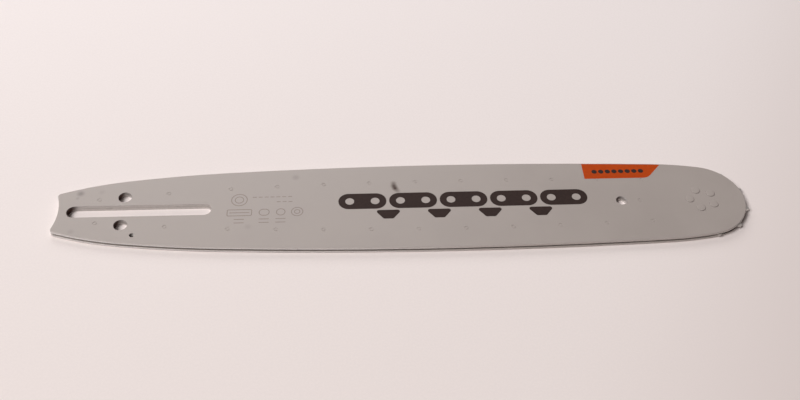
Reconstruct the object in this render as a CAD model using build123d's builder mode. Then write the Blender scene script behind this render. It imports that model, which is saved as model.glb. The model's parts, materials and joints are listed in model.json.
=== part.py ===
"""Chainsaw guide bar: two steel side plates spot welded to a core plate, with a sprocket in the nose.

Millimetres, +Z up. The bar lies flat. The origin is on the lower face, on the bar's centre line,
level with the two chain adjuster holes. +X runs to the nose.
"""

import os
from math import acos, asin, degrees

from build123d import *

# Plates
bar_length = 389.4
plate_thickness = 1.25
groove_width = 1.4
groove_depth = 6.5
rail_chamfer = 0.4

# Outline: distances along the bar from its tail corners before rounding, and rail heights chained
# from the nose radius
nose_radius = 26.15
blend_run = 22.35
blend_rise = 2.85
crown_from_tail = 222.6
crown_rise = 2.6
shoulder_from_tail = 95.6
shoulder_fall = 3.15
neck_from_tail = 38.6
neck_fall = 5.25
tail_fall = 9.4
tail_hollow = 2.6
tail_corner_radius = 2.2

# Clamping end: the stud slot, the adjuster holes and the oil hole, measured from the tail corners
slot_from_tail = 7.4
slot_length = 79.8
slot_width = 8.3
adjuster_from_tail = 38.35
adjuster_spacing = 20.9
adjuster_hole_diameter = 7.6
oil_hole_from_tail = 45.6
oil_hole_from_axis = 18.0
oil_hole_diameter = 3.0

# Hanging hole behind the nose
hang_hole_from_sprocket = 46.3
hang_hole_diameter = 6.3

# Nose bearing, a little ahead of the nose arc's centre
sprocket_ahead = 1.4
hub_diameter = 21.6
roller_diameter = 3.0
roller_gap = 0.1
roller_sides = 16
running_clearance = 0.05
side_clearance = 0.05

# Nose sprocket
tooth_count = 11
tooth_reach = 0.35
tooth_height = 6.0
tooth_tip_width = 1.3
tooth_tip_rounding = 0.35
tooth_phase = -15.2
gullet_radius = 3.6
pocket_clearance = 1.0

# Nose rivets
rivet_count = 5
rivet_circle_diameter = 14.2
rivet_diameter = 4.9
rivet_crown = 0.15
rivet_crown_bevel = 0.35
rivet_clearance = 0.03
rivet_first_angle = 180.0

# Heights of the layers
bar_thickness = 2 * plate_thickness + groove_width
mid_height = bar_thickness / 2
core_bottom = plate_thickness
upper_plate_bottom = plate_thickness + groove_width
turning_bottom = core_bottom + side_clearance
turning_thickness = groove_width - 2 * side_clearance

# Radii of the nose, from the hub outward
hub_radius = hub_diameter / 2
roller_radius = roller_diameter / 2
roller_ring_radius = hub_radius + running_clearance + roller_radius
sprocket_bore_radius = roller_ring_radius + roller_radius + running_clearance
tip_radius = nose_radius + tooth_reach
root_radius = tip_radius - tooth_height
pocket_radius = tip_radius + pocket_clearance


def along(distance_from_tail):
    """The X of a point at a distance from the tail corners."""
    return distance_from_tail - adjuster_from_tail


def below(point):
    """The mirror image of a point across the bar's centre line."""
    return Vector(point.X, -point.Y)


# Points of the outline's upper half
blend_height = nose_radius + blend_rise
crown_height = blend_height + crown_rise
shoulder_height = crown_height - shoulder_fall
neck_height = shoulder_height - neck_fall
tail_height = neck_height - tail_fall

nose_centre = Vector(along(bar_length - nose_radius), 0)
nose_end = Vector(along(bar_length), 0)
sprocket_centre = nose_centre + Vector(sprocket_ahead, 0)
blend_start = Vector(nose_centre.X - blend_run, blend_height)
crown = Vector(along(crown_from_tail), crown_height)
shoulder = Vector(along(shoulder_from_tail), shoulder_height)
neck = Vector(along(neck_from_tail), neck_height)
tail_corner = Vector(along(0), tail_height)
tail_middle = Vector(along(tail_hollow), 0)

# Both rails and the nose, each arc tangent to the next
with BuildLine() as rails:
    rear_arc = TangentArc(crown, shoulder, tangent=(-1, 0))
    shoulder_arc = TangentArc(shoulder, neck, tangent=rear_arc % 1)
    tail_arc = TangentArc(neck, tail_corner, tangent=shoulder_arc % 1)
    front_arc = TangentArc(crown, blend_start, tangent=(1, 0))
    # The blend arc touches the front arc where it starts and the nose circle where it ends
    outward = (front_arc % 1).rotate(Axis.Z, 90)
    reach = blend_start - nose_centre
    blend_radius = (reach.dot(reach) - nose_radius**2) / (2 * (outward.dot(reach) - nose_radius))
    blend_centre = blend_start - outward * blend_radius
    blend_end = nose_centre + (nose_centre - blend_centre).normalized() * nose_radius
    TangentArc(blend_start, blend_end, tangent=front_arc % 1)
    mirror(about=Plane.XZ)
    ThreePointArc(blend_end, nose_end, below(blend_end))

# Outline of a side plate, closed by its hollow tail
with BuildSketch() as plate_outline:
    with BuildLine():
        add(rails.line)
        ThreePointArc(tail_corner, tail_middle, below(tail_corner))
    make_face()
    fillet(plate_outline.vertices().group_by(Axis.X)[0], tail_corner_radius)

# Outline of the core: the rails moved in by the groove's depth, the same tail, a pocket for the sprocket
tail_run_out = tail_corner + (tail_arc % 1) * 2 * groove_depth
with BuildSketch() as core_outline:
    with BuildLine():
        add(rails.line)
        Polyline(tail_corner, tail_run_out, below(tail_run_out), below(tail_corner))
    make_face()
    offset(amount=-groove_depth)
    add(plate_outline.sketch, mode=Mode.INTERSECT)
    with Locations(sprocket_centre):
        Circle(pocket_radius, mode=Mode.SUBTRACT)

# Openings that go through all three plates
with BuildSketch() as through_openings:
    with Locations((along(slot_from_tail + slot_length / 2), 0)):
        SlotOverall(slot_length, slot_width)
    with GridLocations(0, adjuster_spacing, 1, 2):
        Circle(adjuster_hole_diameter / 2)
    with Locations((sprocket_centre.X - hang_hole_from_sprocket, 0)):
        Circle(hang_hole_diameter / 2)

# Ring of rivet holes, in the side plates and the hub
with BuildSketch() as rivet_holes:
    with Locations(sprocket_centre):
        with PolarLocations(rivet_circle_diameter / 2, rivet_count, start_angle=rivet_first_angle):
            Circle(rivet_diameter / 2 + rivet_clearance)

# Upper side plate: rails chamfered on the outer face, and an oil hole into one groove
with BuildPart() as side_plate_upper:
    with BuildSketch(Plane.XY.offset(upper_plate_bottom)):
        add(plate_outline.sketch)
    extrude(amount=plate_thickness)
    outer_face = side_plate_upper.faces().sort_by(Axis.Z)[-1]
    chamfer(outer_face.edges(), length=rail_chamfer)
    with BuildSketch(Plane.XY.offset(upper_plate_bottom)):
        add(through_openings.sketch)
        add(rivet_holes.sketch)
        with Locations((along(oil_hole_from_tail), -oil_hole_from_axis)):
            Circle(oil_hole_diameter / 2)
    extrude(amount=plate_thickness, mode=Mode.SUBTRACT)
side_plate_upper.part.label = "side_plate_upper"

# Lower side plate: the same stamping, turned over about the bar's length
with BuildPart() as side_plate_lower:
    add(side_plate_upper.part.rotate(Axis((0, 0, mid_height), (1, 0, 0)), 180))
side_plate_lower.part.label = "side_plate_lower"

# Core plate: its inset edge is the floor of the chain groove
with BuildPart() as core_plate:
    with BuildSketch(Plane.XY.offset(core_bottom)):
        add(core_outline.sketch)
        add(through_openings.sketch, mode=Mode.SUBTRACT)
    extrude(amount=groove_width)
core_plate.part.label = "core_plate"

# One gullet between two teeth, on the X axis: straight flanks run from the tooth tips to a round floor
tooth_pitch_angle = 360 / tooth_count
tip_corner_angle = tooth_pitch_angle / 2 - degrees(asin(tooth_tip_width / 2 / tip_radius))
tip_corner = Vector(tip_radius, 0).rotate(Axis.Z, tip_corner_angle)
tip_run_out = Vector(tip_radius + tooth_height, 0).rotate(Axis.Z, tip_corner_angle)
gullet_centre = Vector(root_radius + gullet_radius, 0)
to_tip = tip_corner - gullet_centre
touch_angle = degrees(acos(gullet_radius / to_tip.length))
flank_foot = gullet_centre + to_tip.normalized().rotate(Axis.Z, touch_angle) * gullet_radius
with BuildSketch() as gullet:
    with BuildLine():
        ThreePointArc(below(flank_foot), Vector(root_radius, 0), flank_foot)
        Polyline(
            flank_foot,
            tip_corner,
            tip_run_out,
            below(tip_run_out),
            below(tip_corner),
            below(flank_foot),
        )
    make_face()

# Nose sprocket: a toothed ring whose bore is the bearing's outer track
with BuildPart() as nose_sprocket:
    with BuildSketch(Plane((sprocket_centre.X, sprocket_centre.Y, turning_bottom))) as sprocket_profile:
        Circle(tip_radius)
        with PolarLocations(0, tooth_count, start_angle=tooth_phase + tooth_pitch_angle / 2):
            add(gullet.sketch, mode=Mode.SUBTRACT)
        tip_corners = sprocket_profile.vertices().sort_by_distance((0, 0))[-2 * tooth_count :]
        fillet(tip_corners, tooth_tip_rounding)
        Circle(sprocket_bore_radius, mode=Mode.SUBTRACT)
    extrude(amount=turning_thickness)
nose_sprocket.part.label = "nose_sprocket"

# Bearing hub: the fixed inner track, clamped between the side plates by the rivets
with BuildPart() as bearing_hub:
    with BuildSketch(Plane.XY.offset(core_bottom)):
        with Locations(sprocket_centre):
            Circle(hub_radius)
        add(rivet_holes.sketch, mode=Mode.SUBTRACT)
    extrude(amount=groove_width)
bearing_hub.part.label = "bearing_hub"

# Nose rivets: flush below, and crowned a little above the upper plate
rivet_radius = rivet_diameter / 2
with BuildPart() as rivet:
    with BuildSketch(Plane.XZ):
        with BuildLine():
            Polyline(
                (0, 0),
                (rivet_radius, 0),
                (rivet_radius, bar_thickness),
                (rivet_radius - rivet_crown_bevel, bar_thickness + rivet_crown),
                (0, bar_thickness + rivet_crown),
                close=True,
            )
        make_face()
    revolve(axis=Axis.Z)

with BuildPart() as nose_rivets:
    with Locations(sprocket_centre):
        with PolarLocations(rivet_circle_diameter / 2, rivet_count, start_angle=rivet_first_angle):
            add(rivet.part)
nose_rivets.part.label = "nose_rivets"

# Bearing rollers: as many as fit round the hub, spaced evenly, their round sides made of a few flats
roller_pitch_angle = 2 * degrees(asin((roller_diameter + roller_gap) / (2 * roller_ring_radius)))
roller_count = int(360 / roller_pitch_angle)
rollers = []
for index in range(roller_count):
    place = Vector(roller_ring_radius, 0).rotate(Axis.Z, 360 / roller_count * index)
    centre = sprocket_centre + place
    with BuildPart() as roller:
        with BuildSketch(Plane((centre.X, centre.Y, turning_bottom))):
            RegularPolygon(roller_radius, roller_sides)
        extrude(amount=turning_thickness)
    roller.part.label = f"roller_{index + 1:02d}"
    rollers.append(roller.part)

os.makedirs("parts", exist_ok=True)
export_step(side_plate_upper.part, "parts/side_plate_upper.step")
export_step(side_plate_lower.part, "parts/side_plate_lower.step")
export_step(core_plate.part, "parts/core_plate.step")
export_step(nose_sprocket.part, "parts/nose_sprocket.step")
export_step(bearing_hub.part, "parts/bearing_hub.step")
export_step(nose_rivets.part, "parts/nose_rivets.step")
for roller_part in rollers:
    export_step(roller_part, f"parts/{roller_part.label}.step")
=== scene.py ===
"""Looks of a chainsaw guide bar: weld marks, rivet heads, print and finishes, with a floor, lamps and camera.

Metres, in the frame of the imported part: the bar lies flat, +X runs to its nose and +Z is up.
"""

import json
from math import cos, pi, radians, sin

import bmesh
import bpy
from mathutils import Matrix, Vector
from mathutils.bvhtree import BVHTree


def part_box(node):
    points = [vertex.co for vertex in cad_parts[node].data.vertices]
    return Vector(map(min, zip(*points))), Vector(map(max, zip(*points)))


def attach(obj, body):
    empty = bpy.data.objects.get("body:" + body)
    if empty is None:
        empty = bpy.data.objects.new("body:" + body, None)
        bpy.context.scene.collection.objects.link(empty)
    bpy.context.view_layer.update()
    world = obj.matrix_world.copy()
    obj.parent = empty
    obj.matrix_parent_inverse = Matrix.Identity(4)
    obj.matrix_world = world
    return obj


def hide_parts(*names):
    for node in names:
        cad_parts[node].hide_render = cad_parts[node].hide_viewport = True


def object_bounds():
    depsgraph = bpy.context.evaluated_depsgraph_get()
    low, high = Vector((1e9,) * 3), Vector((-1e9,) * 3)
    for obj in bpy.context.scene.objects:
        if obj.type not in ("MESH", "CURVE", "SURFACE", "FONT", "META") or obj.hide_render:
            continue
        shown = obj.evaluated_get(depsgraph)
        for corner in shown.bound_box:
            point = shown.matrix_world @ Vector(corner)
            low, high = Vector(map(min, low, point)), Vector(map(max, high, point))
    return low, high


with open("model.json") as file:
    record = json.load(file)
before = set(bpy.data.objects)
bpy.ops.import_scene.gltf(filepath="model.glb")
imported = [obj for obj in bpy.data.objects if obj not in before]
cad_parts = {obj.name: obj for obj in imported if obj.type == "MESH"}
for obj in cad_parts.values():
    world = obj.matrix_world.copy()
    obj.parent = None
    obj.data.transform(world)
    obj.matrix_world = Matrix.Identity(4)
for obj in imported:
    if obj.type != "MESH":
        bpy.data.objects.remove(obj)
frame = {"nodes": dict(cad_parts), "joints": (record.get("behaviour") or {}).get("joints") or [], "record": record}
cad_low, cad_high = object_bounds()

MM = 0.001
BODY = "bar"


def srgb(red, green, blue):
    """A colour written in 8-bit sRGB, as Blender's linear values."""
    levels = [value / 255 for value in (red, green, blue)]
    linear = [v / 12.92 if v <= 0.04045 else ((v + 0.055) / 1.055) ** 2.4 for v in levels]
    return (*linear, 1.0)


def in_metres(rows):
    """Round spots as (x, y, radius, depth), with the first three written in millimetres."""
    return [(x * MM, y * MM, radius * MM, depth) for x, y, radius, depth in rows]


# Places read from the frame
plate_low, plate_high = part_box("side_plate_upper")
top_face = plate_high.z
bottom_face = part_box("side_plate_lower")[0].z
joints = {joint["name"]: joint for joint in frame["joints"]}
mounts = {mount["name"]: mount for mount in frame["record"]["mounts"]}
nose_centre = Vector(joints["sprocket_spin"]["pos_m"])
plate_mesh = frame["nodes"]["side_plate_upper"].data
plate_corners = [vertex.co for vertex in plate_mesh.vertices]
plate_tree = BVHTree.FromPolygons(plate_corners, [list(face.vertices) for face in plate_mesh.polygons])

# Finishes of a side plate, in the order of its material slots
OUTER, CHAMFER, RAIL, WALL, INNER = range(5)

# What tells a plate's faces apart: how upright their normal is, and how far in the tail and the rails reach
flat_from = 0.9
chamfer_from = 0.4
tail_depth = 5.0 * MM
rail_margin = 3.0 * MM
plate_smooth_angle = 35

# Corners closer than this are merged before a cut, and faces narrower than a sliver are dissolved after it
merge_distance = 0.0001 * MM
sliver_width = 0.001 * MM

# Spot welds: a ring pressed round each one, in a row along each rail and one on the centre line
weld_radius = 1.05 * MM
weld_groove_width = 0.4 * MM
weld_groove_depth = 0.2 * MM
weld_groove_steps = 8
weld_segments = 40
weld_from_rail = 13.4 * MM
weld_first_x = 58.75 * MM
weld_pitch = 26.24 * MM
weld_pairs = 10
rear_weld_x = 24.15 * MM
tail_weld_x = -14.0 * MM
tail_weld_from_rail = 11.95 * MM
nose_weld_x = 290.55 * MM

# Rivet heads: flat crowns with a rounded edge, each in a gap that is wider towards one side
rivet_count = 5
rivet_circle_radius = 7.1 * MM
rivet_radius = 2.45 * MM
rivet_crown = 0.15 * MM
rivet_edge_width = 0.2 * MM
rivet_edge_steps = 6
rivet_gap_width = 0.15 * MM
rivet_gap_depth = 0.4 * MM
rivet_gap_shift = Vector((0.03, -0.11)) * MM
rivet_segments = 48
rivet_smooth_angle = 50

# Print: thin films of ink on the upper face
film_thickness = 0.02 * MM
film_sink = 0.005 * MM
film_merge_distance = 0.0005 * MM

# A row of chain links, printed in dark ink
chain_start_x = 119.5 * MM
chain_links = 5
chain_pitch = 14.3 * MM
strap_width = 11.8 * MM
strap_gap = 1.6 * MM
strap_hole_radius = 2.5 * MM
strap_centre_y = 3.6 * MM
strap_roundness = 0.98
strap_corner_steps = 12
tang_gap = 1.1 * MM
tang_top_width = 15.6 * MM
tang_tip_width = 5.4 * MM
tang_length = 6.6 * MM
tang_rounding = 1.3 * MM

# An orange tab beside the far rail's chamfer, with a row of dark dots
rail_chamfer = 0.4 * MM
tab_left_x = 261.75 * MM
tab_right_x = 307.85 * MM
tab_slant = 9.0 * MM
tab_from_chamfer = 0.35 * MM
tab_near_y = 17.55 * MM
tab_rounding = 6.0 * MM
tab_far_steps = 16
dot_count = 8
dot_radius = 1.55 * MM
dot_pitch = 3.9 * MM
dot_first_x = 268.3 * MM
dot_from_tab_edge = 5.6 * MM
dot_steps = 24

# Etched marks behind the print: a row of frames and rings with strokes below, and a ring and dashes above
etch_width = 0.45 * MM
etch_row_y = -3.2 * MM
etch_row_height = 5.0 * MM
long_frame_x = 64.5 * MM
long_frame_length = 14.0 * MM
long_frame_rounding = 1.0 * MM
long_frame_bar = 11.0 * MM
short_frame_x = 78.2 * MM
short_frame_length = 6.0 * MM
short_frame_rounding = 2.4 * MM
single_ring_x = 87.4 * MM
single_ring_radius = 2.6 * MM
double_ring_x = 96.5 * MM
double_ring_radii = (3.4 * MM, 1.7 * MM)
upper_ring_place = (64.0 * MM, 6.5 * MM)
upper_ring_radii = (4.6 * MM, 2.6 * MM)
stroke_length = 5.5 * MM
stroke_first_y = -8.2 * MM
stroke_pitch = 2.6 * MM
stroke_rows = 2

# Rows of etched dashes, each given by the place of its first dash and by its count
dash_length = 2.2 * MM
dash_pitch = 3.3 * MM
long_dash_row = (72.5 * MM, 8.4 * MM, 7)
short_dash_row = (86.0 * MM, 4.6 * MM, 3)

# Where painted shade darkens the rails and the chamfers towards the nose, and where painted shade between the
# plates starts at the nose tip, along the bar
painted_shade_stretch = (0.3 * plate_high.x, 0.65 * plate_high.x)
gap_shade_stretch = (nose_centre.x + 4 * MM, nose_centre.x + 12 * MM)

# Painted shade on the walls of the openings, thick at the left and faint at the right, and between the plates at
# the nose tip
painted_shade_tint = srgb(64, 43, 37)
shade_plateau = 0.5
slot_shade_radius = 8.0 * MM
slot_faint_radius = 6.0 * MM
slot_faint_depth = 0.3
hole_shade_radius = 6.6 * MM
hole_faint_radius = 5.0 * MM
hole_faint_depth = 0.2
oil_hole_place = (5.75 * MM, -18.0 * MM)
oil_hole_shade_radius = 2.0 * MM
hang_shade_shift = (-0.55 * MM, 0.2 * MM)

# Soft smudges on the paint, as x, y, radius and depth of tint
smudge_tint = srgb(24, 14, 10)
smudges = in_metres([
    (-25.2, 14.0, 3.2, 0.46),
    (-26.4, 10.4, 1.7, 0.18),
    (-13.5, 14.8, 2.6, 0.11),
    (-26.2, -14.7, 3.0, 0.14),
    (69.7, -13.8, 2.8, 0.1),
    (95.2, 23.4, 3.2, 0.2),
])

# A dark matt mark above the print, and how much rougher than the paint it is
mark_tint = srgb(52, 26, 14)
mark_roughness = 0.5
dark_mark = in_metres([
    (151.1, 17.2, 2.4, 0.5),
    (151.2, 15.1, 2.6, 0.86),
    (151.8, 13.2, 2.6, 0.97),
    (153.0, 11.3, 2.4, 0.45),
])

# The range that most values of a noise lie in, and the range of its peaks
NOISE_RANGE = (0.3, 0.7)
PEAK_RANGE = (0.5, 0.75)

# Floor, lamps (in metres and watts) and the backdrop that shows in reflections
floor_reach = 4.0
floor_gap = 0.02 * MM
lamp_target = (0.1, 0, 0)
key_place = (-2.18, -0.84, 3.24)
key_size = (2.0, 2.0)
key_power = 138
back_place = (-0.13, 1.2, 0.8)
back_size = (1.2, 0.8)
back_power = 7.5
fill_strength = 0.11
backdrop_tint = srgb(255, 246, 244)
backdrop_left = 0.95
backdrop_right = 0.3
backdrop_half_width = 0.5

# The camera at the photograph's viewpoint, with its turns in degrees
camera_place = (0.12663, -0.39544, 0.42885)
camera_yaw = -3.95
camera_tilt = 43.29
camera_roll = 1.66
camera_lens = 46.5445
camera_sensor_width = 36
camera_near = 0.01

# Meshes


def add_piece(name, mesh, materials):
    """Links a mesh as a piece that moves with the bar."""
    mesh.materials.clear()
    for material in materials:
        mesh.materials.append(material)
    piece = bpy.data.objects.new(name, mesh)
    bpy.context.scene.collection.objects.link(piece)
    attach(piece, BODY)
    return piece


def smooth_below(mesh, angle):
    """Shades a mesh smooth, apart from edges sharper than the angle."""
    for polygon in mesh.polygons:
        polygon.use_smooth = True
    mesh.set_sharp_from_angle(angle=radians(angle))


def revolve(bm, profile, centre, segments):
    """Adds a solid of revolution. Its (radius, height) pairs run from axis to axis, or make a loop."""
    rings = []
    for radius, height in profile:
        if radius == 0:
            rings.append([bm.verts.new(centre + Vector((0, 0, height)))])
            continue
        ring = []
        for step in range(segments):
            angle = 2 * pi * step / segments
            ring.append(bm.verts.new(centre + Vector((radius * cos(angle), radius * sin(angle), height))))
        rings.append(ring)
    pairs = list(zip(rings, rings[1:]))
    is_loop = len(rings[0]) > 1
    if is_loop:
        pairs.append((rings[-1], rings[0]))
    for lower, upper in pairs:
        for step in range(segments):
            after = (step + 1) % segments
            corners = [
                lower[step % len(lower)],
                lower[after % len(lower)],
                upper[after % len(upper)],
                upper[step % len(upper)],
            ]
            bm.faces.new(list(dict.fromkeys(corners)))


def mesh_from(bm, name):
    """A new mesh with its faces turned outwards, from a bmesh that is then freed."""
    bmesh.ops.recalc_face_normals(bm, faces=bm.faces)
    mesh = bpy.data.meshes.new(name)
    bm.to_mesh(mesh)
    bm.free()
    return mesh


def rail_height(x):
    """Distance from the centre line to the rail of the bar at x."""
    middle = (plate_low.z + plate_high.z) / 2
    start = Vector((x, 2 * plate_high.y, middle))
    place, _, _, _ = plate_tree.ray_cast(start, Vector((0, -1, 0)))
    return place.y


def weld_places():
    """The centres of the spot welds, as (x, y)."""
    rows = [(tail_weld_x, tail_weld_from_rail), (rear_weld_x, weld_from_rail)]
    for index in range(weld_pairs):
        rows.append((weld_first_x + index * weld_pitch, weld_from_rail))
    places = [(nose_weld_x, 0.0)]
    for x, from_rail in rows:
        y = rail_height(x) - from_rail
        places += [(x, y), (x, -y)]
    return places


def rivet_places():
    """The centres of the nose rivets, as (x, y)."""
    turns = [pi + 2 * pi * index / rivet_count for index in range(rivet_count)]
    reach = rivet_circle_radius
    return [(nose_centre.x + reach * cos(turn), nose_centre.y + reach * sin(turn)) for turn in turns]


# The marks that are cut into the outer faces, and the circle that holds each one
weld_spots = weld_places()
rivet_spots = rivet_places()
face_marks = [(Vector(spot), weld_radius + weld_groove_width) for spot in weld_spots]
face_marks += [(Vector(spot), rivet_radius + 2 * rivet_gap_width) for spot in rivet_spots]


def weld_groove(outward):
    """Section of the ring pressed round a weld: a round floor, and a lid above the face."""
    half = weld_groove_width / 2
    profile = [(weld_radius + half, outward * half), (weld_radius - half, outward * half)]
    for step in range(weld_groove_steps + 1):
        angle = pi * step / weld_groove_steps
        profile.append((weld_radius - half * cos(angle), -outward * weld_groove_depth * sin(angle)))
    return profile


def rivet_gap(outward):
    """Half section of the round recess that leaves a gap round a rivet."""
    radius = rivet_radius + rivet_gap_width
    depth = outward * rivet_gap_depth
    return [(0, -depth), (radius, -depth), (radius, depth), (0, depth)]


def face_cutter(face_z, outward):
    """A mesh that cuts the weld rings and the rivet gaps into an outer face."""
    bm = bmesh.new()
    for x, y in weld_spots:
        revolve(bm, weld_groove(outward), Vector((x, y, face_z)), weld_segments)
    for x, y in rivet_spots:
        centre = Vector((x + rivet_gap_shift.x, y + rivet_gap_shift.y, face_z))
        revolve(bm, rivet_gap(outward), centre, rivet_segments)
    return mesh_from(bm, "face_cutter")


def surface_kind(polygon, outward):
    """Which finish a face of a side plate takes, by its tilt and its place."""
    tilt = polygon.normal.z
    place = polygon.center
    if tilt * outward < -flat_from:
        return INNER
    in_mark = any((place.xy - centre).length < reach for centre, reach in face_marks)
    if abs(tilt) > flat_from or in_mark:
        return OUTER
    if abs(tilt) > chamfer_from:
        return CHAMFER
    if not plate_low.x + tail_depth < place.x < nose_centre.x:
        return RAIL
    return WALL if rail_height(place.x) - abs(place.y) > rail_margin else RAIL


def joined_copy(node):
    """A copy of a node's mesh whose faces share their corners."""
    source = frame["nodes"][node].data
    mesh = bpy.data.meshes.new(node)
    corners = [vertex.co for vertex in source.vertices]
    mesh.from_pydata(corners, [], [list(polygon.vertices) for polygon in source.polygons])
    bm = bmesh.new()
    bm.from_mesh(mesh)
    bmesh.ops.remove_doubles(bm, verts=bm.verts, dist=merge_distance)
    bm.to_mesh(mesh)
    bm.free()
    return mesh


def cut_mesh(mesh, cutter_mesh):
    """A mesh with another one cut out of it, in triangles and without slivers."""
    body = bpy.data.objects.new("body", mesh)
    cutter = bpy.data.objects.new("cutter", cutter_mesh)
    for item in (body, cutter):
        bpy.context.scene.collection.objects.link(item)
    cut = body.modifiers.new("cut", "BOOLEAN")
    cut.operation = "DIFFERENCE"
    cut.solver = "MANIFOLD"
    cut.object = cutter
    bpy.context.view_layer.update()
    result = bpy.data.meshes.new_from_object(body.evaluated_get(bpy.context.evaluated_depsgraph_get()))
    for item in (body, cutter):
        bpy.data.objects.remove(item)
    bm = bmesh.new()
    bm.from_mesh(result)
    bmesh.ops.dissolve_degenerate(bm, edges=bm.edges, dist=sliver_width)
    bmesh.ops.triangulate(bm, faces=bm.faces)
    bm.to_mesh(result)
    bm.free()
    return result


def welded_plate(node, face_z, outward, materials):
    """A copy of a side plate with the weld rings and the rivet gaps in its outer face."""
    mesh = cut_mesh(joined_copy(node), face_cutter(face_z, outward))
    smooth_below(mesh, plate_smooth_angle)
    piece = add_piece("painted_" + node, mesh, materials)
    for polygon in mesh.polygons:
        polygon.material_index = surface_kind(polygon, outward)
    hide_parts(node)


def rivet_profile():
    """Half section of a rivet: a plain shank and a flat crown with a rounded edge."""
    profile = [(0, bottom_face), (rivet_radius, bottom_face), (rivet_radius, top_face)]
    inner = rivet_radius - rivet_edge_width
    for step in range(1, rivet_edge_steps + 1):
        angle = pi / 2 * step / rivet_edge_steps
        profile.append((inner + rivet_edge_width * cos(angle), top_face + rivet_crown * sin(angle)))
    profile.append((0, top_face + rivet_crown))
    return profile


def rivet_heads(material):
    """The five nose rivets with their formed heads, as one piece."""
    bm = bmesh.new()
    for x, y in rivet_spots:
        revolve(bm, rivet_profile(), Vector((x, y, 0)), rivet_segments)
    mesh = mesh_from(bm, "rivet_heads")
    smooth_below(mesh, rivet_smooth_angle)
    piece = add_piece("formed_rivets", mesh, [material])
    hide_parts("nose_rivets")


# Outlines for the films


def circle(x, y, radius, steps=32):
    """A round outline."""
    turns = [2 * pi * step / steps for step in range(steps)]
    return [(x + radius * cos(turn), y + radius * sin(turn)) for turn in turns]


def rectangle(x, y, length, width):
    """A rectangle outline about its centre."""
    right = length / 2
    far = width / 2
    return [(x - right, y - far), (x + right, y - far), (x + right, y + far), (x - right, y + far)]


def rounded(corners, radii, steps=6):
    """The outline through some corners, each rounded to its radius."""
    outline = []
    count = len(corners)
    for index, radius in enumerate(radii):
        here = Vector(corners[index])
        if radius == 0:
            outline.append(tuple(here))
            continue
        before = (Vector(corners[index - 1]) - here).normalized()
        after = (Vector(corners[(index + 1) % count]) - here).normalized()
        half_angle = before.angle(after) / 2
        centre = here + (before + after).normalized() * radius / sin(half_angle)
        reach = radius * cos(half_angle) / sin(half_angle)
        start = here + before * reach - centre
        end = here + after * reach - centre
        sweep = start.angle_signed(end)
        for step in range(steps + 1):
            point = centre + Matrix.Rotation(-sweep * step / steps, 2) @ start
            outline.append(tuple(point))
    return outline


def film(name, outlines, material, layer=0):
    """A thin flat piece on the upper face, or on another film. An outline inside another one is a hole."""
    curve = bpy.data.curves.new(name, "CURVE")
    curve.dimensions = "2D"
    curve.fill_mode = "BOTH"
    curve.extrude = (film_thickness + film_sink) / 2
    for outline in outlines:
        spline = curve.splines.new("POLY")
        spline.points.add(len(outline) - 1)
        for point, (x, y) in zip(spline.points, outline):
            point.co = (x, y, 0, 1)
        spline.use_cyclic_u = True
    shape = bpy.data.objects.new(name + "_shape", curve)
    mesh = bpy.data.meshes.new_from_object(shape)
    bpy.data.objects.remove(shape)
    middle = top_face + layer * film_thickness + (film_thickness - film_sink) / 2
    mesh.transform(Matrix.Translation((0, 0, middle)))
    bm = bmesh.new()
    bm.from_mesh(mesh)
    bmesh.ops.remove_doubles(bm, verts=bm.verts, dist=film_merge_distance)
    bmesh.ops.recalc_face_normals(bm, faces=bm.faces)
    bm.to_mesh(mesh)
    bm.free()
    add_piece(name, mesh, [material])


def chain_outlines():
    """A row of straps with two round holes each, and the tangs that hang between them."""
    strap_length = 2 * chain_pitch - strap_gap
    strap_end = strap_width / 2
    tang_y = strap_centre_y - strap_end - tang_gap
    outlines = []
    for index in range(chain_links):
        x = chain_start_x + strap_length / 2 + index * 2 * chain_pitch
        strap = rectangle(x, strap_centre_y, strap_length, strap_width)
        outlines.append(rounded(strap, [strap_roundness * strap_end] * 4, strap_corner_steps))
        for side in (-1, 1):
            outlines.append(circle(x + side * chain_pitch / 2, strap_centre_y, strap_hole_radius))
        if index == chain_links - 1:
            continue
        middle = x + chain_pitch
        tang = [
            (middle - tang_top_width / 2, tang_y),
            (middle - tang_tip_width / 2, tang_y - tang_length),
            (middle + tang_tip_width / 2, tang_y - tang_length),
            (middle + tang_top_width / 2, tang_y),
        ]
        outlines.append(rounded(tang, [tang_rounding] * 4))
    return outlines


def tab_outline():
    """The tab: square at its left, slanted at its right, and following the rail at its far side."""
    far = []
    for step in range(tab_far_steps + 1):
        x = tab_right_x + (tab_left_x - tab_right_x) * step / tab_far_steps
        far.append((x, rail_height(x) - rail_chamfer - tab_from_chamfer))
    near = [(tab_left_x, tab_near_y), (tab_right_x - tab_slant, tab_near_y)]
    corners = far + near
    radii = [0] * (len(corners) - 1) + [tab_rounding]
    return rounded(corners, radii)


def tab_dots():
    """A row of dots along the tab."""
    places = [dot_first_x + index * dot_pitch for index in range(dot_count)]
    return [circle(x, tab_near_y + dot_from_tab_edge, dot_radius, dot_steps) for x in places]


def stroke_frame(x, length, rounding):
    """The outline and the inner edge of a rounded frame in the etched row, drawn with one stroke."""
    outer = rounded(rectangle(x, etch_row_y, length, etch_row_height), [rounding] * 4)
    inner_size = (length - 2 * etch_width, etch_row_height - 2 * etch_width)
    inner = rounded(rectangle(x, etch_row_y, *inner_size), [rounding - etch_width] * 4)
    return [outer, inner]


def stroke_ring(x, y, radius):
    """The two edges of a ring drawn with one stroke."""
    return [circle(x, y, radius), circle(x, y, radius - etch_width)]


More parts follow.
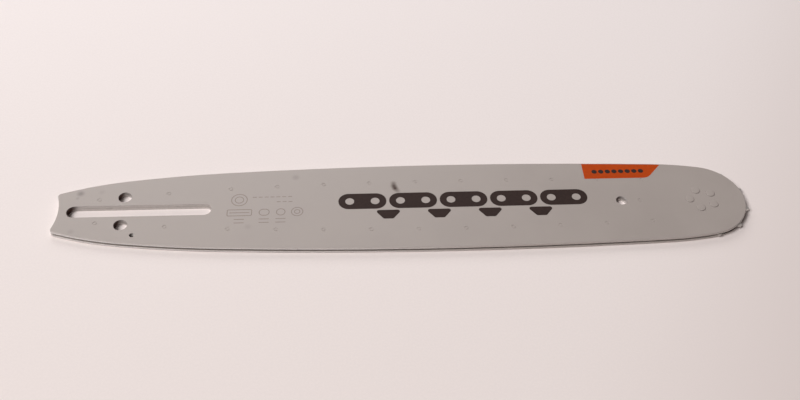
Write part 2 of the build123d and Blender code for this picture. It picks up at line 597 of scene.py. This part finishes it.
def etched_outlines():
    """Plain etched marks: a row of frames and rings with strokes below, and a ring and dashes above."""
    outlines = stroke_frame(long_frame_x, long_frame_length, long_frame_rounding)
    outlines.append(rectangle(long_frame_x, etch_row_y, long_frame_bar, etch_width))
    outlines += stroke_frame(short_frame_x, short_frame_length, short_frame_rounding)
    outlines += stroke_ring(single_ring_x, etch_row_y, single_ring_radius)
    for radius in double_ring_radii:
        outlines += stroke_ring(double_ring_x, etch_row_y, radius)
    for radius in upper_ring_radii:
        outlines += stroke_ring(*upper_ring_place, radius)
    for first_x, y, count in (long_dash_row, short_dash_row):
        for index in range(count):
            outlines.append(rectangle(first_x + index * dash_pitch, y, dash_length, etch_width))
    for x in (long_frame_x, short_frame_x, single_ring_x):
        for row in range(stroke_rows):
            outlines.append(rectangle(x, stroke_first_y - row * stroke_pitch, stroke_length, etch_width))
    return outlines


# Finishes


class Finish:
    """A material's node tree, with short ways to add the nodes that the finishes share."""

    def __init__(self, name):
        self.material = bpy.data.materials.new(name)
        self.material.use_nodes = True
        self.tree = self.material.node_tree
        self.shader = self.tree.nodes["Principled BSDF"]
        self.place = self.tree.nodes.new("ShaderNodeTexCoord").outputs["Object"]

    def link(self, source, target):
        """Joins an output to an input."""
        self.tree.links.new(source, target)

    def noise(self, size, detail=2.0, stretch=(1, 1, 1)):
        """Noise whose features are about size metres across, stretched along the axes."""
        mapping = self.tree.nodes.new("ShaderNodeMapping")
        mapping.inputs["Scale"].default_value = [1 / (size * factor) for factor in stretch]
        self.link(self.place, mapping.inputs["Vector"])
        noise = self.tree.nodes.new("ShaderNodeTexNoise")
        noise.inputs["Scale"].default_value = 1.0
        noise.inputs["Detail"].default_value = detail
        self.link(mapping.outputs["Vector"], noise.inputs["Vector"])
        return noise.outputs["Fac"]

    def spread(self, source, low, high, to_low=0.0, to_high=1.0):
        """Maps a range of values smoothly to another range."""
        node = self.tree.nodes.new("ShaderNodeMapRange")
        node.interpolation_type = "SMOOTHSTEP"
        values = {"From Min": low, "From Max": high, "To Min": to_low, "To Max": to_high}
        for socket, value in values.items():
            node.inputs[socket].default_value = value
        self.link(source, node.inputs["Value"])
        return node.outputs["Result"]

    def math(self, operation, first, second):
        """Arithmetic on two values, either of which may be a socket."""
        node = self.tree.nodes.new("ShaderNodeMath")
        node.operation = operation
        for index, value in enumerate((first, second)):
            if isinstance(value, (int, float)):
                node.inputs[index].default_value = value
            else:
                self.link(value, node.inputs[index])
        return node.outputs["Value"]

    def mix(self, factor, first, second):
        """A blend of two colours, either of which may be a socket."""
        node = self.tree.nodes.new("ShaderNodeMix")
        node.data_type = "RGBA"
        self.link(factor, node.inputs["Factor"])
        for name, value in (("A", first), ("B", second)):
            socket = next(s for s in node.inputs if s.name == name and s.type == "RGBA")
            if isinstance(value, tuple):
                socket.default_value = value
            else:
                self.link(value, socket)
        return next(s for s in node.outputs if s.type == "RGBA")

    def along(self, axis):
        """The place along one axis of the bar."""
        split = self.tree.nodes.new("ShaderNodeSeparateXYZ")
        self.link(self.place, split.inputs["Vector"])
        return split.outputs[axis]

    def toward_nose(self, start, end):
        """Zero behind one place along the bar, rising softly to one at another."""
        return self.spread(self.along("X"), start, end)

    def spot(self, x, y, radius, depth, plateau=0.0):
        """A soft round spot: its full depth over a share of the radius, falling to zero at the radius."""
        node = self.tree.nodes.new("ShaderNodeVectorMath")
        node.operation = "DISTANCE"
        node.inputs[1].default_value = (x, y, top_face)
        self.link(self.place, node.inputs[0])
        falling = self.spread(node.outputs["Value"], plateau * radius, radius, to_low=1.0, to_high=0.0)
        return self.math("MULTIPLY", falling, depth)

    def stain(self, colour, spots, tint, plateau=0.0):
        """Blends a colour towards a tint at some spots, given as (x, y, radius, depth)."""
        for spot in spots:
            colour = self.mix(self.spot(*spot, plateau), colour, tint)
        return colour

    def cover(self, spots):
        """The share of the face that some spots cover together."""
        clear = 1.0
        for spot in spots:
            clear = self.math("MULTIPLY", self.math("SUBTRACT", 1.0, self.spot(*spot)), clear)
        return self.math("SUBTRACT", 1.0, clear)

    def bump(self, height, depth, strength):
        """Fine relief: height is 0 to 1 and depth is in metres."""
        node = self.tree.nodes.new("ShaderNodeBump")
        node.inputs["Distance"].default_value = depth
        node.inputs["Strength"].default_value = strength
        self.link(height, node.inputs["Height"])
        self.link(node.outputs["Normal"], self.shader.inputs["Normal"])

    def colour(self, socket):
        """Gives the surface a colour that varies."""
        self.link(socket, self.shader.inputs["Base Color"])

    def roughness(self, socket):
        """Gives the surface a roughness that varies."""
        self.link(socket, self.shader.inputs["Roughness"])


def satin_paint(name, soft_spots=(), matt_spots=()):
    """Warm grey satin paint with a fine grain, faint clouds, soft smudges and dark matt spots."""
    finish = Finish(name)
    clouds = finish.noise(size=38 * MM, detail=3)
    grain = finish.noise(size=0.55 * MM, detail=2)
    pale = srgb(165, 154, 148)
    dark = srgb(161, 150, 144)
    speck = srgb(140, 130, 124)
    speck_range = (0.62, 0.8)
    colour = finish.mix(finish.spread(clouds, *NOISE_RANGE), dark, pale)
    colour = finish.mix(finish.spread(grain, *speck_range, to_high=0.25), colour, speck)
    colour = finish.stain(colour, soft_spots, smudge_tint)
    finish.colour(finish.stain(colour, matt_spots, mark_tint))
    finish.shader.inputs["Specular IOR Level"].default_value = 0.8
    roughness = finish.spread(clouds, low=0.25, high=0.75, to_low=0.42, to_high=0.5)
    if matt_spots:
        rougher = finish.math("MULTIPLY", finish.cover(matt_spots), mark_roughness)
        roughness = finish.math("ADD", roughness, rougher)
    finish.roughness(roughness)
    finish.bump(grain, depth=0.02 * MM, strength=0.5)
    return finish.material


def rubbed_edge(name):
    """Chamfer paint lighter than the faces and brighter towards the tail as a painted highlight, with bare flecks
    of wear.
    """
    finish = Finish(name)
    flecks = finish.noise(size=1.4 * MM, detail=4)
    tail_paint = srgb(188, 178, 173)
    nose_paint = srgb(176, 166, 161)
    bare = srgb(205, 203, 200)
    # Painted highlight: the chamfer paint is brightest at the tail and fades towards the nose
    colour = finish.mix(finish.toward_nose(*painted_shade_stretch), tail_paint, nose_paint)
    finish.colour(finish.mix(finish.spread(flecks, *PEAK_RANGE, to_high=0.3), colour, bare))
    finish.roughness(finish.spread(flecks, low=0.4, high=0.7, to_low=0.5, to_high=0.38))
    finish.bump(flecks, depth=0.02 * MM, strength=0.4)
    return finish.material


def ground_rail(name):
    """Bare ground rails with an upright grain, darkened towards the nose by painted shade."""
    finish = Finish(name)
    grain = finish.noise(size=0.25 * MM, detail=3, stretch=(1, 1, 4))
    lit_steel = srgb(230, 228, 226)
    shaded_steel = srgb(196, 189, 184)
    scratch = srgb(120, 112, 107)
    scratch_range = (0.45, 0.75)
    # Painted shade: the rails darken from the tail towards the nose
    colour = finish.mix(finish.toward_nose(*painted_shade_stretch), lit_steel, shaded_steel)
    finish.colour(finish.mix(finish.spread(grain, *scratch_range, to_high=0.3), colour, scratch))
    finish.shader.inputs["Metallic"].default_value = 0.5
    finish.roughness(finish.spread(grain, *NOISE_RANGE, to_low=0.4, to_high=0.52))
    finish.bump(grain, depth=0.02 * MM, strength=0.6)
    return finish.material


def punched_wall(name, shade_marks):
    """Dull walls of the punched openings, with an upright grain and painted shade at some spots."""
    finish = Finish(name)
    grain = finish.noise(size=0.25 * MM, detail=3, stretch=(1, 1, 4))
    dark = srgb(194, 188, 184)
    pale = srgb(208, 203, 200)
    colour = finish.mix(finish.spread(grain, *NOISE_RANGE), dark, pale)
    # Painted shade: the wall darkens towards the tint at the given spots
    finish.colour(finish.stain(colour, shade_marks, painted_shade_tint, shade_plateau))
    finish.shader.inputs["Metallic"].default_value = 0.25
    finish.roughness(finish.spread(grain, *NOISE_RANGE, to_low=0.45, to_high=0.55))
    finish.bump(grain, depth=0.02 * MM, strength=0.6)
    return finish.material


def inner_face(name):
    """The faces between the plates: thinly painted, darkened towards the nose tip by painted shade."""
    finish = Finish(name)
    patches = finish.noise(size=3 * MM, detail=3)
    dark = srgb(180, 170, 164)
    pale = srgb(187, 177, 171)
    colour = finish.mix(finish.spread(patches, *NOISE_RANGE), dark, pale)
    # Painted shade between the plates at the nose tip
    finish.colour(finish.mix(finish.toward_nose(*gap_shade_stretch), colour, painted_shade_tint))
    finish.roughness(finish.spread(patches, *NOISE_RANGE, to_low=0.45, to_high=0.6))
    finish.bump(patches, depth=0.03 * MM, strength=0.4)
    return finish.material


def dull_steel(name, light, dark, roughness, grain_stretch, shade_marks=()):
    """Bare steel with a rolled or ground grain and darker, glossier oily patches, and painted shade at some spots.
    """
    finish = Finish(name)
    grain = finish.noise(size=0.18 * MM, detail=3, stretch=grain_stretch)
    patches = finish.noise(size=9 * MM, detail=4)
    oil = srgb(58, 50, 45)
    oily_roughness = 0.7 * roughness
    colour = finish.mix(finish.spread(grain, *NOISE_RANGE), dark, light)
    colour = finish.mix(finish.spread(patches, *PEAK_RANGE, to_high=0.3), colour, oil)
    # Painted shade at the given spots, such as the walls of the openings
    finish.colour(finish.stain(colour, shade_marks, painted_shade_tint, shade_plateau))
    finish.shader.inputs["Metallic"].default_value = 1.0
    finish.roughness(finish.spread(patches, *NOISE_RANGE, to_low=roughness, to_high=oily_roughness))
    finish.bump(grain, depth=0.01 * MM, strength=0.6)
    return finish.material


def matt_ink(name, light, dark, gloss):
    """A thin matt coat of ink with a faint mottle and pinholes."""
    finish = Finish(name)
    mottle = finish.noise(size=1.6 * MM, detail=4)
    pores = finish.noise(size=0.3 * MM, detail=1)
    finish.colour(finish.mix(finish.spread(mottle, *NOISE_RANGE), dark, light))
    finish.shader.inputs["Specular IOR Level"].default_value = gloss
    finish.roughness(finish.spread(mottle, *NOISE_RANGE, to_low=0.5, to_high=0.6))
    finish.bump(pores, depth=0.01 * MM, strength=0.4)
    return finish.material


def paper(name):
    """Pale backdrop paper with a faint tooth, paler towards the back as painted light and darker at the front
    right as painted shade.
    """
    finish = Finish(name)
    fibres = finish.noise(size=1.2 * MM, detail=4)
    across = finish.along("X")
    back = finish.along("Y")
    front_tint = srgb(244, 232, 228)
    back_tint = srgb(248, 238, 236)
    shade_tint = srgb(224, 210, 206)
    fibre_tint = srgb(232, 221, 218)
    pale_stretch = (-0.2, 0.3)
    shade_slope = 0.5
    shade_stretch = (0.27, 0.5)
    # Painted light: the paper is paler towards the back
    colour = finish.mix(finish.spread(back, *pale_stretch), front_tint, back_tint)
    # Painted shade: the paper darkens towards the front right
    front_right = finish.math("SUBTRACT", across, finish.math("MULTIPLY", back, shade_slope))
    colour = finish.mix(finish.spread(front_right, *shade_stretch), colour, shade_tint)
    finish.colour(finish.mix(finish.spread(fibres, *NOISE_RANGE, to_high=0.2), colour, fibre_tint))
    finish.shader.inputs["Roughness"].default_value = 0.95
    finish.shader.inputs["Specular IOR Level"].default_value = 0.1
    return finish.material


def opening_shade_spots():
    """The spots of painted shade on the walls of the openings, as (x, y, radius, depth)."""
    slot_x, slot_y, _ = mounts["stud_slot"]["pos_m"]
    slot_reach = mounts["stud_slot"]["dims"]["length_mm"] * MM / 2
    spots = [
        (slot_x - slot_reach, slot_y, slot_shade_radius, 1.0),
        (slot_x + slot_reach, slot_y, slot_faint_radius, slot_faint_depth),
    ]
    for name in ("adjuster_hole_left", "adjuster_hole_right"):
        hole_x, hole_y, _ = mounts[name]["pos_m"]
        hole_radius = mounts[name]["dims"]["r_mm"] * MM
        spots += [
            (hole_x - hole_radius, hole_y, hole_shade_radius, 1.0),
            (hole_x + hole_radius, hole_y, hole_faint_radius, hole_faint_depth),
        ]
    spots.append((*oil_hole_place, oil_hole_shade_radius, 1.0))
    hang_x, hang_y, _ = mounts["hang_hole"]["pos_m"]
    hang_left = hang_x - mounts["hang_hole"]["dims"]["r_mm"] * MM
    shift_x, shift_y = hang_shade_shift
    spots.append((hang_left + shift_x, hang_y + shift_y, hole_shade_radius, 1.0))
    return spots


# Studio


def add_floor(material):
    """A wide pale floor just under the bar."""
    reach = floor_reach
    corners = [(-reach, -reach, 0), (reach, -reach, 0), (reach, reach, 0), (-reach, reach, 0)]
    mesh = bpy.data.meshes.new("floor")
    mesh.from_pydata(corners, [], [(0, 1, 2, 3)])
    mesh.materials.append(material)
    floor = bpy.data.objects.new("floor", mesh)
    floor.location.z = cad_low.z - floor_gap
    bpy.context.scene.collection.objects.link(floor)


def add_lamp(name, place, size, power):
    """A soft white rectangular lamp aimed at the bar."""
    data = bpy.data.lights.new(name, "AREA")
    data.shape = "RECTANGLE"
    data.size, data.size_y = size
    data.energy = power
    lamp = bpy.data.objects.new(name, data)
    lamp.location = place
    lamp.rotation_euler = (Vector(lamp_target) - Vector(place)).to_track_quat("-Z", "Y").to_euler()
    bpy.context.scene.collection.objects.link(lamp)


def light_world():
    """A dim even fill, while the camera and reflections see a pale backdrop that dims from left to right."""
    world = bpy.data.worlds.new("studio")
    bpy.context.scene.world = world
    world.use_nodes = True
    tree = world.node_tree
    path = tree.nodes.new("ShaderNodeLightPath")
    seen = path.outputs["Is Camera Ray"]
    for ray in ("Is Glossy Ray", "Is Transmission Ray"):
        either = tree.nodes.new("ShaderNodeMath")
        either.operation = "MAXIMUM"
        tree.links.new(seen, either.inputs[0])
        tree.links.new(path.outputs[ray], either.inputs[1])
        seen = either.outputs["Value"]
    direction = tree.nodes.new("ShaderNodeSeparateXYZ")
    tree.links.new(tree.nodes.new("ShaderNodeTexCoord").outputs["Generated"], direction.inputs["Vector"])
    backdrop = tree.nodes.new("ShaderNodeMapRange")
    values = {
        "From Min": -backdrop_half_width,
        "From Max": backdrop_half_width,
        "To Min": backdrop_left,
        "To Max": backdrop_right,
    }
    for socket, value in values.items():
        backdrop.inputs[socket].default_value = value
    tree.links.new(direction.outputs["X"], backdrop.inputs["Value"])
    strength = tree.nodes.new("ShaderNodeMapRange")
    strength.inputs["To Min"].default_value = fill_strength
    tree.links.new(backdrop.outputs["Result"], strength.inputs["To Max"])
    tree.links.new(seen, strength.inputs["Value"])
    background = tree.nodes["Background"]
    background.inputs["Color"].default_value = backdrop_tint
    tree.links.new(strength.outputs["Result"], background.inputs["Strength"])


def add_camera():
    """The photograph's viewpoint."""
    data = bpy.data.cameras.new("camera")
    data.sensor_width = camera_sensor_width
    data.lens = camera_lens
    data.clip_start = camera_near
    camera = bpy.data.objects.new("camera", data)
    yaw = Matrix.Rotation(radians(camera_yaw), 4, "Z")
    tilt = Matrix.Rotation(radians(camera_tilt), 4, "X")
    roll = Matrix.Rotation(radians(camera_roll), 4, "Z")
    camera.matrix_world = Matrix.Translation(camera_place) @ (yaw @ tilt @ roll)
    bpy.context.scene.collection.objects.link(camera)
    bpy.context.scene.camera = camera


# The object
# Painted shade on the walls of the openings, for the plates and the core
wall_shade_spots = opening_shade_spots()
plate_finishes = [
    satin_paint("plate_paint", smudges, dark_mark),
    rubbed_edge("rubbed_edge"),
    ground_rail("ground_rail"),
    punched_wall("punched_wall", wall_shade_spots),
    inner_face("inner_face"),
]
rivet_paint = satin_paint("rivet_paint")
# The core's walls in the openings take the same painted shade
core_steel = dull_steel(
    "core_steel",
    light=srgb(196, 193, 190),
    dark=srgb(178, 175, 172),
    roughness=0.45,
    grain_stretch=(12, 1, 1),
    shade_marks=wall_shade_spots,
)
sprocket_steel = dull_steel(
    "sprocket_steel",
    light=srgb(218, 215, 211),
    dark=srgb(180, 176, 172),
    roughness=0.45,
    grain_stretch=(1, 1, 6),
)
bearing_steel = dull_steel(
    "bearing_steel",
    light=srgb(200, 198, 195),
    dark=srgb(170, 167, 163),
    roughness=0.25,
    grain_stretch=(1, 1, 8),
)
dark_ink = matt_ink("dark_ink", light=srgb(54, 41, 38), dark=srgb(48, 36, 33), gloss=0.1)
orange_ink = matt_ink("orange_ink", light=srgb(186, 70, 16), dark=srgb(178, 65, 12), gloss=0.1)
etched_ink = matt_ink("etched_ink", light=srgb(140, 127, 121), dark=srgb(132, 119, 113), gloss=0.5)

welded_plate("side_plate_upper", top_face, outward=1, materials=plate_finishes)
welded_plate("side_plate_lower", bottom_face, outward=-1, materials=plate_finishes)
rivet_heads(rivet_paint)
film("chain_print", chain_outlines(), dark_ink)
film("orange_tab", [tab_outline()], orange_ink)
film("tab_dots", tab_dots(), dark_ink, layer=1)
film("etched_marks", etched_outlines(), etched_ink)

# The hub and the rollers are bearing steel, and so is the solid under each dressed piece
node_finishes = {"core_plate": core_steel, "nose_sprocket": sprocket_steel}
for node, item in frame["nodes"].items():
    item.data.materials.clear()
    item.data.materials.append(node_finishes.get(node, bearing_steel))

add_floor(paper("paper"))
add_lamp("key", key_place, key_size, key_power)
add_lamp("back", back_place, back_size, back_power)
light_world()
add_camera()
bpy.context.scene.view_settings.view_transform = "Standard"
